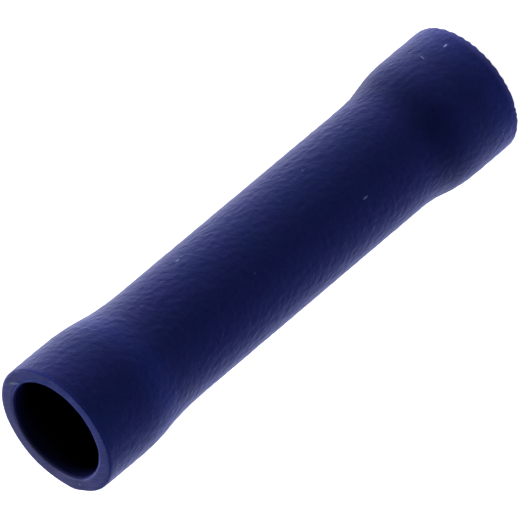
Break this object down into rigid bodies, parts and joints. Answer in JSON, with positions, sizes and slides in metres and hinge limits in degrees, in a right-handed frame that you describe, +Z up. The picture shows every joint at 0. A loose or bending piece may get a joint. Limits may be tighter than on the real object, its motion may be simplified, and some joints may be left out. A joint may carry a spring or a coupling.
{
  "type": "butt splice connector",
  "caption": "Insulated butt splice: a dark blue plastic sleeve with flared wire entries around a tinned metal crimp barrel, joining stripped wires end to end.",
  "frame": {"origin": "centre of the lower cut end, on the axis of the bores; the connector stands on this end", "axes": "+Z up along the axis of the bores, from the lower mouth to the upper one"},
  "size_m": [0.006, 0.0058, 0.025],
  "materials": {
    "sleeve_plastic": "satin dark blue soft plastic with a fine ripple around the tube",
    "tinned_metal": "bright tin plate over copper"
  },
  "bodies": {
    "root": {"insulating_sleeve": "sleeve_plastic", "crimp_barrel": "tinned_metal"}
  },
  "joints": []
}
